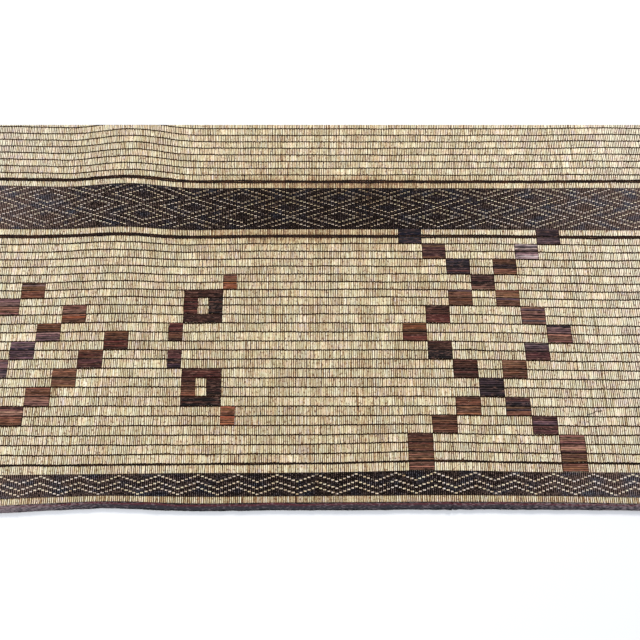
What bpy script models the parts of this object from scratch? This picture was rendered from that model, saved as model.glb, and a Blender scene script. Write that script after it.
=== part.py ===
"""Reed and leather rug, a cut length of a hand-made mat lying on a floor.

Stiff reeds lie side by side along Y. Rows of thin leather thong twine them together along X.
Two bands are woven close with leather strips, and blocks of leather strips are floated over the
reeds between them as ornament. A folded strip of leather binds the front edge. The other three
edges are plain cuts.

Lengths are in millimetres here and become metres when a mesh is made. X runs along the thong
rows and is zero at the middle. A distance written as "from the front" runs along Y, away from
the bound edge, and becomes Y once the origin is set at the middle of the mat's own box.
"""
import math

import bmesh
import bpy
from mathutils import Vector

MM = 0.001
COLLECTION_NAME = "reed_and_leather_rug"

# Reeds
REED_PITCH = 2.42
REED_COUNT = 412
HALF_WIDTH = REED_PITCH * REED_COUNT / 2
REED_TOP = 2.6
REED_END = 590.4

# The far end is trimmed along one straight line. The cut starts at the floor and leans forward as
# it rises, which brings the ends back where the mat lies in a ridge.
REED_UNTRIMMED = 600.0
TRIM_AT_FLOOR = 593.8
TRIM_LEAN = 0.81

# Binding at the front edge, a C-shaped section that holds the reed ends
BINDING_WIDTH = 9.2
BINDING_HEIGHT = 5.4
BINDING_BACK_HEIGHT = 4.6
BINDING_LIP = 1.1
BINDING_NOSE_STEPS = 6
POCKET_TOP = 3.9
POCKET_FRONT = 4.2
REED_END_RISE = 14.0

# Woven bands, from the front, near edge and far edge, and the steps in which they follow the lie
NARROW_BAND = (18.3, 48.5)
NARROW_BAND_STEPS = 1
WIDE_BAND = (409.8, 478.8)
WIDE_BAND_STEPS = 4
LEATHER = 1.1
CLEAR = 0.3

# Thong rows. The near field starts at a double row and ends at another, and the sections give
# how many gaps follow and how wide each is. The far field starts at a double row too.
NEAR_START = 60.7
NEAR_SECTIONS = (
    # gaps, pitch
    (4, 13.05),
    (13, 13.5),
    (9, 12.19),
)
FAR_START = 490.2
FAR_ROWS = 9
FAR_PITCH = 11.8

# Rib that a thong row raises on the reeds: half width at the foot and at the crest, and height
SINGLE_RIB = (0.75, 0.0, 0.55)
DOUBLE_RIB = (1.8, 1.1, 0.7)
RIB_ROOM = 0.35
RIB_SIDE_ROOM = 0.45

# Blocks of the right ornament: two diamonds, one above the other, open towards both bands
BLOCK_WIDTH = 31.45
RIGHT_ORNAMENT_LEFT = 133.0
RIGHT_CENTRE_COLUMN = 3
RIGHT_STEPS = 13
BLOCK_SIDE_ROOM = 0.2
BLOCK_END_ROOM = 1.05

# Left ornament: three stairs of blocks that step down to the left
LEFT_STAIRS = (
    # right edge of the first block, its first gap, number of blocks
    (-340.8, 6, 2),
    (-283.0, 9, 4),
    (-224.9, 12, 5),
)

# Middle ornament: small blocks, and two square frames
SMALL_WIDTH = 18.4
SMALL_BLOCKS = (
    # left edge, first gap
    (-104.0, 5),
    (-173.0, 11),
    (-173.0, 14),
    (-101.9, 20),
)
FRAME_WIDTH = 51.2
FRAMES = (
    # left edge, first gap
    (-155.0, 7),
    (-153.4, 16),
)
FRAME_GAPS = 4
BLOCK_GAPS = 2
LAST_BLOCK_GAPS = 4

# How the mat lies: one soft ridge along the reeds that rises from flat towards the far edge
RIDGE_X = -242.0
RIDGE_REACH = 95.0
RIDGE_HEIGHT = 11.0
RIDGE_START = 150.0
RIDGE_GROWTH = 1.4

# Gentle bends of the rows within the mat's own plane, positive away from the front
ROW_BENDS = (
    # x, from the front, reach along x, reach along y, shift
    (-430, 590, 100, 160, 4.0),
    (-242, 560, 60, 130, 3.5),
    (-480, 480, 250, 70, 2.7),
    (-165, 380, 60, 90, -2.0),
    (-390, 330, 80, 130, -2.6),
    (430, 600, 70, 130, 1.8),
    (440, 390, 130, 80, -1.5),
    (420, 250, 150, 110, -4.9),
    (160, 75, 90, 50, 3.0),
    (240, 60, 250, 35, 1.7),
    (-320, 70, 140, 70, -1.3),
    (-390, 30, 120, 40, -1.9),
    (430, 15, 90, 14, -2.2),
    (-400, 0, 50, 25, -4.0),
    (-240, 0, 60, 25, 3.0),
    (-115, 0, 50, 25, -1.2),
    (260, 0, 260, 25, 0.9),
)

# Lines along the reeds between which every piece is straight in X
RIDGE_STEPS = 8
LEFT_STEPS = 3
RIGHT_FIELD_STEPS = 14
UNDERSIDE_STEPS = 6

FINISHES = {
    # name: base colour, roughness
    "reed": ((0.60, 0.49, 0.29, 1.0), 0.55),
    "band_leather": ((0.028, 0.020, 0.022, 1.0), 0.50),
    "block_leather": ((0.085, 0.032, 0.022, 1.0), 0.45),
    "binding_leather": ((0.075, 0.036, 0.042, 1.0), 0.50),
}


def near_rows():
    """Near field thong rows, farthest first, then the near field's front limit."""
    rows = [NEAR_START]
    for gaps, pitch in NEAR_SECTIONS:
        for _ in range(gaps):
            rows.append(rows[-1] + pitch)
    rows.reverse()
    return rows + [NARROW_BAND[1]]


def far_rows():
    return [FAR_START + FAR_PITCH * k for k in range(FAR_ROWS)]


NEAR_ROWS = near_rows()
FAR_FIELD_ROWS = far_rows()
DOUBLE_ROWS = (NEAR_ROWS[0], NEAR_ROWS[-2], FAR_FIELD_ROWS[0])


def evenly(low, high, steps):
    return [low + (high - low) * k / steps for k in range(steps + 1)]


STATIONS = (
    evenly(-HALF_WIDTH, RIDGE_X - RIDGE_REACH, LEFT_STEPS)
    + evenly(RIDGE_X - RIDGE_REACH, RIDGE_X + RIDGE_REACH, RIDGE_STEPS)[1:]
    + evenly(RIDGE_X + RIDGE_REACH, HALF_WIDTH, RIGHT_FIELD_STEPS)[1:]
)


def ridge(x, y):
    """Height of the ridge above the floor."""
    across = (x - RIDGE_X) / RIDGE_REACH
    along = (y - RIDGE_START) / (REED_END - RIDGE_START)
    if abs(across) >= 1 or along <= 0:
        return 0.0
    return RIDGE_HEIGHT * math.cos(across * math.pi / 2) ** 2 * along ** RIDGE_GROWTH


def bend(x, y):
    """Shift of a row along Y."""
    shift = 0.0
    for centre_x, centre_y, reach_x, reach_y, most in ROW_BENDS:
        shift += most * math.exp(-(((x - centre_x) / reach_x) ** 2) - ((y - centre_y) / reach_y) ** 2)
    return shift


def laid(x, y):
    """(shift along Y, lift) of the mat at a place, straight between two stations."""
    for low, high in zip(STATIONS, STATIONS[1:]):
        if x <= high:
            break
    share = (x - low) / (high - low)
    shift = (1 - share) * bend(low, y) + share * bend(high, y)
    lift = (1 - share) * ridge(low, y) + share * ridge(high, y)
    return shift, lift


FRONT_Y = min(bend(x, 0.0) for x in STATIONS)
MIDDLE_Y = (FRONT_Y + TRIM_AT_FLOOR) / 2


def lay_down(bm):
    """Takes a flat mesh in millimetres to its place on the floor, in metres."""
    for vert in bm.verts:
        x, y, z = vert.co
        shift, lift = laid(x, y)
        vert.co = Vector((x, y + shift - MIDDLE_Y, z + lift)) * MM


def trim_far_end(bm):
    """Cuts a laid body off along the trim line and closes it."""
    cut = bmesh.ops.bisect_plane(
        bm,
        geom=bm.verts[:] + bm.edges[:] + bm.faces[:],
        plane_co=(0, (TRIM_AT_FLOOR - MIDDLE_Y) * MM, 0),
        plane_no=(0, 1, TRIM_LEAN),
        clear_outer=True,
    )["geom_cut"]
    rim = [part for part in cut if isinstance(part, bmesh.types.BMEdge)]
    bmesh.ops.holes_fill(bm, edges=rim, sides=0)


def finish_node(name, bm, finish, trimmed=False):
    """Makes a mesh body an object with its material."""
    lay_down(bm)
    if trimmed:
        trim_far_end(bm)
    bmesh.ops.recalc_face_normals(bm, faces=bm.faces[:])
    mesh = bpy.data.meshes.new(name)
    bm.to_mesh(mesh)
    bm.free()
    mesh.materials.append(bpy.data.materials[finish])
    node = bpy.data.objects.new(name, mesh)
    bpy.data.collections[COLLECTION_NAME].objects.link(node)
    return node


def extruded_along_rows(name, section, finish, trimmed=False):
    """A closed section in (from the front, height), drawn out along X through every station."""
    bm = bmesh.new()
    cap = bm.faces.new([bm.verts.new((STATIONS[0], y, z)) for y, z in section])
    for low, high in zip(STATIONS, STATIONS[1:]):
        grown = bmesh.ops.extrude_face_region(bm, geom=[cap])["geom"]
        if low != STATIONS[0]:
            bmesh.ops.delete(bm, geom=[cap], context="FACES_ONLY")
        cap = next(part for part in grown if isinstance(part, bmesh.types.BMFace))
        moved = [part for part in grown if isinstance(part, bmesh.types.BMVert)]
        bmesh.ops.translate(bm, verts=moved, vec=(high - low, 0, 0))
    return finish_node(name, bm, finish, trimmed)


def rib_of(row):
    return DOUBLE_RIB if row in DOUBLE_ROWS else SINGLE_RIB


def rib_points(row):
    """The rib's outline over the reeds, near side first."""
    foot, crest, height = rib_of(row)
    points = [(row - foot, REED_TOP), (row - crest, REED_TOP + height)]
    if crest > 0:
        points.append((row + crest, REED_TOP + height))
    points.append((row + foot, REED_TOP))
    return points


def make_reed_field():
    """The reeds with their thong rows, as one sheet that slips into the binding's pocket."""
    end_low = BINDING_LIP + CLEAR
    end_high = POCKET_TOP - CLEAR
    level = BINDING_WIDTH + 2 * CLEAR
    section = [
        (POCKET_FRONT + CLEAR, end_low),
        (POCKET_FRONT + CLEAR, end_high),
        (level, end_high),
        (REED_END_RISE, REED_TOP),
    ]
    top = [(y, REED_TOP) for y in evenly(*WIDE_BAND, WIDE_BAND_STEPS)]
    for row in NEAR_ROWS[:-1] + FAR_FIELD_ROWS:
        top += rib_points(row)
    section += sorted(top)
    section.append((REED_UNTRIMMED, REED_TOP))
    section += [(y, 0.0) for y in reversed(evenly(RIDGE_START, REED_UNTRIMMED, UNDERSIDE_STEPS))]
    section += [(REED_END_RISE, 0.0), (level, end_low)]
    extruded_along_rows("reed_field", section, "reed", trimmed=True)


def make_binding():
    """The folded leather edge: a rounded nose, a flat sole and a pocket for the reed ends."""
    radius = BINDING_HEIGHT / 2
    section = [(BINDING_WIDTH, BINDING_LIP), (BINDING_WIDTH, 0.0)]
    for k in range(BINDING_NOSE_STEPS + 1):
        turn = math.pi * k / BINDING_NOSE_STEPS
        section.append((radius - radius * math.sin(turn), radius - radius * math.cos(turn)))
    section += [
        (BINDING_WIDTH - radius, BINDING_HEIGHT),
        (BINDING_WIDTH, BINDING_BACK_HEIGHT),
        (BINDING_WIDTH, POCKET_TOP),
        (POCKET_FRONT, POCKET_TOP),
        (POCKET_FRONT, BINDING_LIP),
    ]
    extruded_along_rows("front_binding", section, "binding_leather")


def make_band(name, near, far, steps):
    low = REED_TOP + CLEAR
    high = low + LEATHER
    lines = evenly(near, far, steps)
    section = [(y, high) for y in lines] + [(y, low) for y in reversed(lines)]
    extruded_along_rows(name, section, "band_leather")


def plate_lines(near, far):
    """Lines of a plate along X as (from the front, height of its underside)."""
    low = REED_TOP + CLEAR
    lines = [(near, low)]
    for row in sorted(NEAR_ROWS[:-1]):
        foot, crest, height = rib_of(row)
        if near < row - foot and row + foot < far:
            roof = REED_TOP + height + RIB_ROOM
            lines.append((row - foot - RIB_SIDE_ROOM, low))
            lines.append((row - crest, roof))
            if crest > 0:
                lines.append((row + crest, roof))
            lines.append((row + foot + RIB_SIDE_ROOM, low))
    lines.append((far, low))
    return lines


def columns(left, right, edges=()):
    """Places along X where a plate bends or starts: its ends, given edges and the stations."""
    inner = [x for x in STATIONS if left < x < right]
    return sorted({left, right, *edges, *inner})


def make_plate(name, left, right, near, far, hole=None):
    """A block of leather over the reeds, arched over the thong rows that it covers."""
    hole_edges = hole[:2] if hole else ()
    across = columns(left, right, hole_edges)
    lines = plate_lines(near, far)
    if hole:
        low = REED_TOP + CLEAR
        lines = sorted(set(lines) | {(hole[2], low), (hole[3], low)})
    bm = bmesh.new()
    bmesh.ops.create_grid(bm, x_segments=len(across) - 1, y_segments=len(lines) - 1, size=1)
    under = {}
    for vert in bm.verts:
        column = round((vert.co.x + 1) / 2 * (len(across) - 1))
        line = round((vert.co.y + 1) / 2 * (len(lines) - 1))
        under[vert] = (across[column], *lines[line])
    for vert, place in under.items():
        vert.co = place
    if hole:
        inside = []
        for face in bm.faces:
            middle = face.calc_center_median()
            if hole[0] < middle.x < hole[1] and hole[2] < middle.y < hole[3]:
                inside.append(face)
        bmesh.ops.delete(bm, geom=inside, context="FACES")
    grown = bmesh.ops.extrude_face_region(bm, geom=bm.faces[:])["geom"]
    for part in grown:
        if isinstance(part, bmesh.types.BMVert):
            part.co.z = REED_TOP + CLEAR + LEATHER
    finish_node(name, bm, "block_leather")


def gap_edges(first_gap, gaps):
    """Near and far edge of a block that fills some gaps of the near field."""
    near = NEAR_ROWS[first_gap + gaps] + BLOCK_END_ROOM
    far = NEAR_ROWS[first_gap] - BLOCK_END_ROOM
    return near, far


def make_block(name, left, width, near, far):
    make_plate(name, left + BLOCK_SIDE_ROOM, left + width - BLOCK_SIDE_ROOM, near, far)


def make_right_ornament():
    number = 0
    for step in range(RIGHT_STEPS):
        if step == 0:
            near, far = NEAR_ROWS[1] + BLOCK_END_ROOM, WIDE_BAND[0] - CLEAR
        elif step == RIGHT_STEPS - 1:
            near, far = gap_edges(BLOCK_GAPS * step - 1, LAST_BLOCK_GAPS)
        else:
            near, far = gap_edges(BLOCK_GAPS * step - 1, BLOCK_GAPS)
        away = abs(RIGHT_CENTRE_COLUMN - step % (2 * RIGHT_CENTRE_COLUMN))
        for column in sorted({RIGHT_CENTRE_COLUMN - away, RIGHT_CENTRE_COLUMN + away}):
            number += 1
            left = RIGHT_ORNAMENT_LEFT + BLOCK_WIDTH * column
            make_block(f"block_right_{number:02d}", left, BLOCK_WIDTH, near, far)


def make_left_ornament():
    number = 0
    for right_edge, first_gap, count in LEFT_STAIRS:
        for step in range(count):
            number += 1
            near, far = gap_edges(first_gap + BLOCK_GAPS * step, BLOCK_GAPS)
            left = right_edge - BLOCK_WIDTH * (step + 1)
            make_block(f"block_left_{number:02d}", left, BLOCK_WIDTH, near, far)


def make_middle_ornament():
    for number, (left, first_gap) in enumerate(SMALL_BLOCKS, 1):
        near, far = gap_edges(first_gap, BLOCK_GAPS)
        make_block(f"block_middle_{number:02d}", left, SMALL_WIDTH, near, far)
    for number, (left, first_gap) in enumerate(FRAMES, 1):
        near, far = gap_edges(first_gap, FRAME_GAPS)
        hole_near = NEAR_ROWS[first_gap + FRAME_GAPS - 1] + BLOCK_END_ROOM + CLEAR
        hole_far = NEAR_ROWS[first_gap + 1] - BLOCK_END_ROOM - CLEAR
        hole = (left + SMALL_WIDTH, left + FRAME_WIDTH - SMALL_WIDTH, hole_near, hole_far)
        make_plate(f"frame_middle_{number:02d}", left, left + FRAME_WIDTH, near, far, hole)


def clear_scene():
    for thing in list(bpy.data.objects):
        bpy.data.objects.remove(thing, do_unlink=True)


def make_materials():
    for name, (colour, roughness) in FINISHES.items():
        material = bpy.data.materials.new(name)
        material.use_nodes = True
        shader = material.node_tree.nodes["Principled BSDF"]
        shader.inputs["Base Color"].default_value = colour
        shader.inputs["Roughness"].default_value = roughness
        shader.inputs["Metallic"].default_value = 0.0


def main():
    clear_scene()
    collection = bpy.data.collections.new(COLLECTION_NAME)
    bpy.context.scene.collection.children.link(collection)
    make_materials()
    make_reed_field()
    make_binding()
    make_band("narrow_band", *NARROW_BAND, NARROW_BAND_STEPS)
    make_band("wide_band", *WIDE_BAND, WIDE_BAND_STEPS)
    make_right_ornament()
    make_left_ornament()
    make_middle_ornament()


main()
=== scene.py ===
"""Looks of the reed and leather rug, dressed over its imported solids.

Lengths are in millimetres until a mesh is laid down, and metres after that. X runs along the
thong rows and is zero at the middle. "From the front" is the distance from the bound edge,
along the reeds. Every piece is modelled flat and then laid down, so that all of them share the
soft ridge and the slight bends of the rows that the solids have.
"""

import math

import bmesh
import bpy
import numpy as np
from mathutils import Matrix, Vector


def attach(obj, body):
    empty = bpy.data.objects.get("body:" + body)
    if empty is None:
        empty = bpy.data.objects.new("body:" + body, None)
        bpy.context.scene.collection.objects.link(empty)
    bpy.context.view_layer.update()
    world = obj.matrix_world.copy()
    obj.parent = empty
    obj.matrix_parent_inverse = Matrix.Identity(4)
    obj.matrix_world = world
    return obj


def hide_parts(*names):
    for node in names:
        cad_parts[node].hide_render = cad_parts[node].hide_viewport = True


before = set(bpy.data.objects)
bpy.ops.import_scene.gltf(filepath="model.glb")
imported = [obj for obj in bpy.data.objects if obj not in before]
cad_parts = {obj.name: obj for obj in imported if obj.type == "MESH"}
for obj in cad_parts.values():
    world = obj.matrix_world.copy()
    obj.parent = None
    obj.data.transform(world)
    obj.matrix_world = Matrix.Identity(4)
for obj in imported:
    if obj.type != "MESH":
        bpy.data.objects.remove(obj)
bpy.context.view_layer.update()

MM = 0.001

# Reeds, as in the solids
REED_PITCH = 2.42
REED_COUNT = 412
HALF_WIDTH = REED_PITCH * REED_COUNT / 2
REED_TOP = 2.6
REED_END = 590.4

# Trim of the far end: one plane, from the floor, that leans along the photograph's line of sight
REED_UNTRIMMED = 600.0
TRIM_AT_FLOOR = 593.8
TRIM_LEAN = 0.81

# Binding along the front edge
BINDING_WIDTH = 9.2
BINDING_HEIGHT = 5.4
BINDING_BACK_HEIGHT = 4.6
BINDING_LIP = 1.1
POCKET_TOP = 3.9
POCKET_FRONT = 4.2
REED_END_RISE = 14.0

# Woven bands, near edge and far edge from the front
NARROW_BAND = (18.3, 48.5)
WIDE_BAND = (409.8, 478.8)

# Thong rows
NEAR_START = 60.7
NEAR_SECTIONS = (
    # gaps, pitch
    (4, 13.05),
    (13, 13.5),
    (9, 12.19),
)
FAR_START = 490.2
FAR_ROWS = 9
FAR_PITCH = 11.8

# Blocks of the ornaments
BLOCK_WIDTH = 31.45
RIGHT_ORNAMENT_LEFT = 133.0
RIGHT_CENTRE_COLUMN = 3
RIGHT_STEPS = 13
LEFT_STAIRS = (
    # right edge of the first block, its first gap, number of blocks
    (-340.8, 6, 2),
    (-283.0, 9, 4),
    (-224.9, 12, 5),
)
SMALL_WIDTH = 18.4
SMALL_BLOCKS = (
    # left edge, first gap
    (-104.0, 5),
    (-173.0, 11),
    (-173.0, 14),
    (-101.9, 20),
)
FRAME_WIDTH = 51.2
FRAMES = (
    # left edge, first gap
    (-155.0, 7),
    (-153.4, 16),
)
FRAME_GAPS = 4
BLOCK_GAPS = 2
LAST_BLOCK_GAPS = 4

# How the mat lies: one soft ridge along the reeds, and gentle bends of the rows
RIDGE_X = -242.0
RIDGE_REACH = 95.0
RIDGE_HEIGHT = 11.0
RIDGE_START = 150.0
RIDGE_GROWTH = 1.4
ROW_BENDS = (
    # x, from the front, reach along x, reach along y, shift
    (-430, 590, 100, 160, 4.0),
    (-242, 560, 60, 130, 3.5),
    (-480, 480, 250, 70, 2.7),
    (-165, 380, 60, 90, -2.0),
    (-390, 330, 80, 130, -2.6),
    (430, 600, 70, 130, 1.8),
    (440, 390, 130, 80, -1.5),
    (420, 250, 150, 110, -4.9),
    (160, 75, 90, 50, 3.0),
    (240, 60, 250, 35, 1.7),
    (-320, 70, 140, 70, -1.3),
    (-390, 30, 120, 40, -1.9),
    (430, 15, 90, 14, -2.2),
    (-400, 0, 50, 25, -4.0),
    (-240, 0, 60, 25, 3.0),
    (-115, 0, 50, 25, -1.2),
    (260, 0, 260, 25, 0.9),
)

# Reed bodies
REED_SIDES = 5
REED_CENTRE_Z = 1.5
REED_HALF_HEIGHT = 1.08
REED_FILL = 1.0
REED_SHOULDER = 1.7
REED_PANELS = 4
REED_START = 4.7
SINGLE_REED_FIRST = 1

# Thongs: two strands twined round pairs of reeds
THONG_WIDTH = 2.02
THONG_THICKNESS = 0.72
THONG_SLANT = 0.36
THONG_TOP = 2.32
THONG_BOTTOM = 0.02
THONG_END = 1.2

# Bands: one leather strip to a row, over the reeds, and under a pair of them at each dot
NARROW_STRIPS = 17
NARROW_COVER = 1.15
NARROW_WEAR = 0.13
WIDE_STRIPS = 39
WIDE_COVER = 1.38
WIDE_WEAR = 0.03
STRIP_THICKNESS = 0.62
# Height of a strip's underside: over a pair of reeds and beside it, then at a dot
STRIP_OVER = 2.72
STRIP_BESIDE = 2.52
DOT_UNDER = 0.15
DOT_SLACK = 2.0
DOT_BESIDE = 2.42
DOT_BESIDE_FALLING = 2.2
NARROW_REPEAT = 10
NARROW_PEAK_PAIR = 7
NARROW_ZIGZAGS = (1, 6, 10)
WIDE_REPEAT = (28, 18)
WIDE_CENTRE = (2, 9)
WIDE_DIAMONDS = (5, 9)
WIDE_LAST_DOTS = 36

# Blocks: leather strips laid side by side in each gap between two thong rows
STRIPS_IN_GAP = 4
BLOCK_STRIP_RINGS = 16
BLOCK_STRIP_THICKNESS = 0.95
BLOCK_STRIP_LOW = 1.0
BLOCK_STRIP_RISE = 1.75
BLOCK_STRIP_TUCK = 0.5
ROW_MARGIN = 0.6
DOUBLE_ROW_MARGIN = 1.3

DYES = {
    "thong": "#170c09",
    "black": "#130b0b",
    "navy": "#0a0818",
    "slate": "#231d24",
    "violet": "#2d2024",
    "dusk": "#564245",
    "mauve": "#705352",
    "pale": "#a8948f",
    "plum": "#482a28",
    "oxblood": "#48231c",
    "umber": "#351c14",
    "brown": "#593625",
    "chestnut": "#6a4633",
    "rosewood": "#7b5547",
    "russet": "#6b3c24",
    "rust": "#8c5030",
    "tan": "#7c4e32",
}
RIGHT_DYES = (
    # far gaps, near gaps, stray strips
    ("navy", "slate", "violet"),
    ("violet", "dusk", "brown"),
    ("plum", "plum", "chestnut"),
    ("pale", "pale", "dusk"),
    ("slate", "violet", "plum"),
    ("brown", "chestnut", "violet"),
    ("plum", "rosewood", "umber"),
    ("chestnut", "brown", "dusk"),
    ("chestnut", "chestnut", "dusk"),
    ("umber", "oxblood", "brown"),
    ("rosewood", "rosewood", "dusk"),
    ("russet", "oxblood", "brown"),
    ("mauve", "rosewood", "slate"),
    ("umber", "black", "umber"),
    ("dusk", "plum", "chestnut"),
    ("umber", "umber", "oxblood"),
    ("brown", "brown", "chestnut"),
    ("violet", "violet", "black"),
    ("brown", "chestnut", "tan"),
    ("plum", "chestnut", "violet"),
    ("brown", "brown", "umber"),
    ("plum", "plum", "dusk"),
    ("brown", "chestnut", "umber"),
    ("rosewood", "chestnut", "plum"),
)
LEFT_DYES = (
    ("chestnut", "brown", "mauve"),
    ("mauve", "rosewood", "chestnut"),
    ("rosewood", "chestnut", "rust"),
    ("brown", "mauve", "umber"),
    ("dusk", "dusk", "slate"),
    ("mauve", "dusk", "slate"),
    ("brown", "oxblood", "umber"),
    ("brown", "plum", "oxblood"),
    ("chestnut", "chestnut", "brown"),
    ("chestnut", "rosewood", "brown"),
    ("rosewood", "chestnut", "plum"),
)
SMALL_DYES = (
    ("chestnut", "rust", "brown"),
    ("oxblood", "brown", "umber"),
    ("plum", "violet", "umber"),
    ("tan", "tan", "russet"),
)
FRAME_DYES = (
    # far gap, left wall, right wall, near gap, stray strips
    ("umber", "oxblood", "black", "umber", "umber"),
    ("oxblood", "brown", "umber", "black", "umber"),
)
STRAY_SHARE = 0.2

# Tone of the reeds across the mat: x, and what it adds to their tone
TONE_LIFT_X = (-500, -400, -60, 140, 320, 500)
TONE_LIFT = (0.17, 0.07, -0.03, -0.03, 0.08, 0.23)

# Soiled places, as on either side of the wide band, and cleaner ones
SOIL = (
    # x, from the front, reach along x, reach along y, loss of tone
    (70, 486, 190, 13, 0.40),
    (0, 399, 130, 12, 0.36),
    (-180, 404, 150, 8, 0.08),
    (380, 484, 150, 10, 0.10),
    (-490, 570, 110, 60, -0.26),
    (480, 580, 40, 50, -0.12),
    (450, 230, 60, 70, -0.06),
    (150, 340, 90, 50, 0.05),
    (-80, 8, 500, 26, 0.10),
)

# How worn the leather of the bands is across the mat: x, and the share of worn dye
WEAR_X = (-500, -400, -290, -60, 120, 220, 350, 500)
WEAR = (1.00, 0.80, 0.42, 0.12, 0.10, 0.25, 0.60, 0.88)

# Edges that turn less than this are shaded smooth
SMOOTH_UNDER = math.radians(75)
SEED = 20
# Radians that the wave texture turns in one metre at a scale of 1
WAVE_TURN = 20


def near_rows():
    """Near field thong rows, farthest first, then the near field's front limit."""
    rows = [NEAR_START]
    for gaps, pitch in NEAR_SECTIONS:
        for _ in range(gaps):
            rows.append(rows[-1] + pitch)
    rows.reverse()
    return rows + [NARROW_BAND[1]]


NEAR_ROWS = near_rows()
FAR_FIELD_ROWS = [FAR_START + FAR_PITCH * k for k in range(FAR_ROWS)]
DOUBLE_ROWS = {
    # row: half the distance between its two thongs, and their width
    NEAR_ROWS[-2]: (0.8, 1.75),
    NEAR_ROWS[0]: (1.4, 2.9),
    FAR_FIELD_ROWS[0]: (1.4, 2.9),
}


def ridge(x, y):
    """Height of the ridge above the floor."""
    across = np.clip(np.abs(x - RIDGE_X) / RIDGE_REACH, 0, 1)
    along = np.clip((y - RIDGE_START) / (REED_END - RIDGE_START), 0, None)
    return RIDGE_HEIGHT * np.cos(across * math.pi / 2) ** 2 * along ** RIDGE_GROWTH


def hills(table, x, y):
    """Sum of soft round hills, each (x, y, reach along x, reach along y, height)."""
    total = np.zeros(np.broadcast(x, y).shape)
    for centre_x, centre_y, reach_x, reach_y, most in table:
        away_x = (x - centre_x) / reach_x
        away_y = (y - centre_y) / reach_y
        total = total + most * np.exp(-(away_x ** 2) - away_y ** 2)
    return total


def bend(x, y):
    """Shift of a row along Y."""
    return hills(ROW_BENDS, x, y)


ALL_ACROSS = np.linspace(-HALF_WIDTH, HALF_WIDTH, 200)
FRONT_Y = bend(ALL_ACROSS, 0.0).min()
MIDDLE_Y = (FRONT_Y + TRIM_AT_FLOOR) / 2


def lay_down(mesh, x, y, z):
    """Puts a mesh's vertices at flat places in millimetres, laid on the floor, in metres."""
    places = np.column_stack((x, y + bend(x, y) - MIDDLE_Y, z + ridge(x, y))) * MM
    mesh.vertices.foreach_set("co", places.astype(np.float32).ravel())
    mesh.update()


def make_bars(sides, rings, copies):
    """Copies of one plain bar as a single mesh, with what each vertex is part of.

    Returns the mesh, then the copy, the ring along the bar and the corner of each vertex."""
    bm = bmesh.new()
    lengthwise = Matrix.Rotation(-math.pi / 2, 4, "X")
    bmesh.ops.create_cone(
        bm,
        cap_ends=True,
        segments=sides,
        radius1=0.25,
        radius2=0.25,
        depth=rings - 1,
        matrix=lengthwise,
    )
    long_edges = [edge for edge in bm.edges if abs(edge.verts[0].co.y - edge.verts[1].co.y) > 0.5]
    bmesh.ops.subdivide_edges(bm, edges=long_edges, cuts=rings - 2)
    mesh = bpy.data.meshes.new("bar")
    bm.to_mesh(mesh)
    bm.free()
    bar = bpy.data.objects.new("bar", mesh)
    bpy.context.scene.collection.objects.link(bar)
    array = bar.modifiers.new("copies", "ARRAY")
    array.count = copies
    array.use_relative_offset = False
    array.use_constant_offset = True
    array.constant_offset_displace = (1, 0, 0)
    depsgraph = bpy.context.evaluated_depsgraph_get()
    bars = bpy.data.meshes.new_from_object(bar.evaluated_get(depsgraph))
    bpy.data.objects.remove(bar)
    bpy.data.meshes.remove(mesh)
    places = np.empty(len(bars.vertices) * 3, np.float32)
    bars.vertices.foreach_get("co", places)
    x, y, z = places.reshape(-1, 3).T
    copy = np.rint(x).astype(int)
    ring = np.rint(y + (rings - 1) / 2).astype(int)
    angle = np.arctan2(z, x - copy)
    corner = np.rint((angle - angle[0]) / (2 * math.pi / sides)).astype(int) % sides
    return bars, copy, ring, corner


def trim_far_end(mesh):
    """Cuts a laid mesh off along the trim line, and closes every end that it opens."""
    bm = bmesh.new()
    bm.from_mesh(mesh)
    cut = bmesh.ops.bisect_plane(
        bm,
        geom=bm.verts[:] + bm.edges[:] + bm.faces[:],
        plane_co=(0, (TRIM_AT_FLOOR - MIDDLE_Y) * MM, 0),
        plane_no=(0, 1, TRIM_LEAN),
        clear_outer=True,
    )["geom_cut"]
    rims = [part for part in cut if isinstance(part, bmesh.types.BMEdge)]
    bmesh.ops.holes_fill(bm, edges=rims, sides=0)
    bm.to_mesh(mesh)
    bm.free()


def note(mesh, name, values):
    """Keeps one number for each vertex, for the materials to read."""
    attribute = mesh.attributes.new(name, "FLOAT", "POINT")
    attribute.data.foreach_set("value", np.asarray(values, np.float32))


def note_colour(mesh, name, colours):
    """Keeps one linear colour for each vertex, for the materials to read."""
    attribute = mesh.attributes.new(name, "FLOAT_COLOR", "POINT")
    opaque = np.column_stack((colours, np.ones(len(colours))))
    attribute.data.foreach_set("color", opaque.astype(np.float32).ravel())


def finish_piece(name, mesh, material, nodes):
    """Makes a laid mesh a piece that rides on the mat and stands for its CAD nodes."""
    mesh.name = name
    mesh.shade_smooth()
    mesh.set_sharp_from_angle(angle=SMOOTH_UNDER)
    mesh.materials.clear()
    mesh.materials.append(material)
    piece = bpy.data.objects.new(name, mesh)
    bpy.context.scene.collection.objects.link(piece)
    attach(piece, "root")
    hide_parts(*nodes)
    return piece


def linear(hex_colour):
    """An sRGB hex colour as linear red, green, blue."""
    parts = [int(hex_colour[k:k + 2], 16) / 255 for k in (1, 3, 5)]
    return tuple(c / 12.92 if c <= 0.04045 else ((c + 0.055) / 1.055) ** 2.4 for c in parts)


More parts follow.
